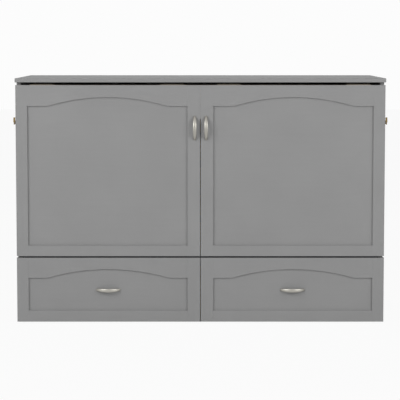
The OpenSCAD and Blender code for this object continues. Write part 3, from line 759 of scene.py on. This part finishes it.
def middles(node, axis):
    """The middles of a node's boards along one axis, in order."""
    shape = welded(node)
    ends = [reach(board, axis) for board in boards(shape)]
    shape.free()
    return sorted((start + end) / 2 for start, end in ends)


bearer_middles = middles("front_deck_bearers", 0)
low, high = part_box("fold_hinge_front_leaves")
screw_heads("fold_leaf_screws", "front_deck", FOLD_SCREW,
            [(x + aside, low.y + row, low.z + LEAF) for x in bearer_middles
             for aside in (-FOLD_SCREW_ASIDE, FOLD_SCREW_ASIDE) for row in FRONT_ROWS], UPWARD)
low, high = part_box("fold_hinge_foot_leaves")
screw_heads("foot_leaf_screws", "foot_deck", FOLD_SCREW,
            [(x + aside, high.y - LEAF_EDGE, low.z + LEAF) for x in bearer_middles
             for aside in (-FOLD_SCREW_ASIDE, 0, FOLD_SCREW_ASIDE)], UPWARD)

# %% [markdown]
# ## Slat screws
# Two bright screws hold every slat on every bearer. On the two folding decks they are on the
# side that becomes the top of the bed, so the front deck's face the back and the foot deck's
# face the front while the bed is folded. The head deck's slats rest on a bearer at each side
# of the chest and on the divider between the drawers.

# %% Slat screws
SLAT_SCREW_ASIDE = 24 * MM         # from the middle of a slat to its two screws
HEAD_SLAT_END = 12 * MM            # from a head slat's end to its screws
PAIR = (-SLAT_SCREW_ASIDE, SLAT_SCREW_ASIDE)

deck_slat_middles = middles("front_deck_slats", 2)
spots = [(x, z + aside) for x in bearer_middles for z in deck_slat_middles for aside in PAIR]
front_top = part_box("front_deck_slats")[1].y
screw_heads("front_slat_screws", "front_deck", SLAT_SCREW,
            [(x, front_top, z) for x, z in spots], BACKWARD)
foot_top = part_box("foot_deck_slats")[0].y
screw_heads("foot_slat_screws", "foot_deck", SLAT_SCREW,
            [(x, foot_top, z) for x, z in spots], FORWARD)
low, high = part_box("head_slats")
screw_heads("head_slat_screws", "cabinet", SLAT_SCREW,
            [(x, y + aside, high.z) for x in (low.x + HEAD_SLAT_END, 0, high.x - HEAD_SLAT_END)
             for y in middles("head_slats", 1) for aside in PAIR], UPWARD)

# %% [markdown]
# ## Camera
# The camera stands about 6 m away with a long lens, a little above the lid. A real product
# camera keeps the uprights parallel by shifting the lens down instead of tilting. A small shift
# with a slight tilt comes close to that, and leaves other views centred.

# %% Camera
LENS_MM = 129.45
SENSOR_MM = 36
DISTANCE = 6.321
EYE_HEIGHT = 1.244
ASIDE = -1.7 * MM
TILT = math.radians(4.372)
SHIFT_DOWN = 0.12
camera_data = bpy.data.cameras.new("camera")
camera_data.lens = LENS_MM
camera_data.sensor_width = SENSOR_MM
camera_data.shift_y = -SHIFT_DOWN
camera = bpy.data.objects.new("camera", camera_data)
bpy.context.scene.collection.objects.link(camera)
front_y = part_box("left_door_frame")[0].y
camera.location = (ASIDE, front_y - DISTANCE, EYE_HEIGHT)
camera.rotation_euler = (math.pi / 2 - TILT, 0, 0)
bpy.context.scene.camera = camera
print("camera at", [round(v, 3) for v in camera.location], "lens", LENS_MM, "mm")

# %% [markdown]
# ## Two masks for the background
# The floor and the room behind it should look plain white without lighting up the object. The
# first mask tells the rays that look for a background from the rays that carry light on to the
# object. The second marks the floor under the chest, which has to stay dark.

# %% Masks for the background
PAPER_WHITE = 0.974                # the background's level, where 1 is full white


def background_rays(tree):
    """1 for the rays that look for a background: camera, glossy and transmission rays."""
    path = add(tree, "ShaderNodeLightPath")
    seen = add(tree, "ShaderNodeMath",
               {0: (path, "Is Camera Ray"), 1: (path, "Is Glossy Ray")}, operation="MAXIMUM")
    return add(tree, "ShaderNodeMath",
               {0: (seen, "Value"), 1: (path, "Is Transmission Ray")}, operation="MAXIMUM")


def under_chest(tree):
    """1 between the outer corners of the chest's sides, and 0 round it."""
    low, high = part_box("left_side_frame")[0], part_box("right_side_frame")[1]
    place = add(tree, "ShaderNodeTexCoord")
    axes = add(tree, "ShaderNodeSeparateXYZ", {"Vector": (place, "Object")})
    across, behind = (add(tree, "ShaderNodeMath",
                          {0: (axes, "XY"[i]), 1: (low[i] + high[i]) / 2,
                           2: (high[i] - low[i]) / 2}, operation="COMPARE") for i in range(2))
    return add(tree, "ShaderNodeMath", {0: (across, "Value"), 1: (behind, "Value")},
               operation="MULTIPLY")


print("background level", PAPER_WHITE)

# %% [markdown]
# ## Paper floor
# The object stands on plain white paper. The paper is lit like the object, so that it keeps the
# contact shadow, and most of what the camera sees of it is plain white, so that the sheet fades
# into the background. Reflections and see-through rays get the same white. Under the chest the
# sheet shows only the light that reaches it, so that the gaps in the chest stay dark.

# %% Paper floor
GLOW_SHARE = 0.96                  # how much of the paper's look is plain white
SHEET_HALF = 20                    # half a side of the sheet, in metres
paper, paper_tree = empty_material("white_paper")
share = add(paper_tree, "ShaderNodeMath",
            {0: (under_chest(paper_tree), "Value"), 1: -GLOW_SHARE, 2: GLOW_SHARE},
            operation="MULTIPLY_ADD")
glow = add(paper_tree, "ShaderNodeMath",
           {0: (background_rays(paper_tree), "Value"), 1: (share, "Value")},
           operation="MULTIPLY")
matt_paper = add(paper_tree, "ShaderNodeBsdfDiffuse", {"Color": linear("#f4f4f4")})
bright_paper = add(paper_tree, "ShaderNodeEmission",
                   {"Color": (1, 1, 1, 1), "Strength": PAPER_WHITE})
paper_mix = add(paper_tree, "ShaderNodeMixShader",
                {0: (glow, "Value"), 1: (matt_paper, "BSDF"), 2: (bright_paper, "Emission")})
add(paper_tree, "ShaderNodeOutputMaterial", {"Surface": (paper_mix, "Shader")})

sheet = bmesh.new()
bmesh.ops.create_grid(sheet, x_segments=8, y_segments=8, size=SHEET_HALF)
floor = piece_from("floor", sheet)
dress(floor, [paper])
floor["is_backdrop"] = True
print("white paper floor,", 2 * SHEET_HALF, "m wide")

# %% [markdown]
# ## White room
# Behind the object is a white room. The world gives the camera, reflections and glass the same
# white as the paper, and lights the object with a much lower level, so that it doesn't wash out.

# %% White room
ROOM_LIGHT = 0.37                  # the level at which the room lights the object
world = bpy.data.worlds.new("white_room")
world.use_nodes = True
world.node_tree.nodes.clear()
room_level = add(world.node_tree, "ShaderNodeMapRange",
                 {"Value": (background_rays(world.node_tree), "Value"),
                  "To Min": ROOM_LIGHT, "To Max": PAPER_WHITE})
room = add(world.node_tree, "ShaderNodeBackground",
           {"Color": (1, 1, 1, 1), "Strength": (room_level, "Result")})
add(world.node_tree, "ShaderNodeOutputWorld", {"Surface": (room, "Background")})
bpy.context.scene.world = world
print("room light", ROOM_LIGHT, "and background", PAPER_WHITE)

# %% [markdown]
# ## Lights
# Two large softboxes stand in front of the chest, to its left and right and above it. The left
# one is stronger, which gives the pulls and arches a bright and a dark side. A weak third one
# behind the chest draws the back edge of the lid.

# %% Lights
CENTRE = (0, 0, 0.5)


def softbox(name, place, size, power):
    """A square area light that points at the middle of the chest."""
    data = bpy.data.lights.new(name, "AREA")
    data.shape = "SQUARE"
    data.size = size
    data.energy = power
    lamp = bpy.data.objects.new(name, data)
    bpy.context.scene.collection.objects.link(lamp)
    lamp.location = place
    lamp.rotation_euler = (Vector(CENTRE) - Vector(place)).to_track_quat("-Z", "Y").to_euler()


softbox("key", (-3.3, -3.4, 2.7), 2.6, 100)
softbox("fill", (3.3, -3.4, 2.2), 2.6, 76)
softbox("back", (0.0, 3.5, 3.0), 2.5, 14)
bpy.context.scene.view_settings.view_transform = "Standard"

# %% [markdown]
# ## Size and end
# The box round everything that renders, apart from the floor, is printed at the end.

# %% Size and end
low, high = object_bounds()
print("visual box", [round(v, 4) for v in low], [round(v, 4) for v in high])
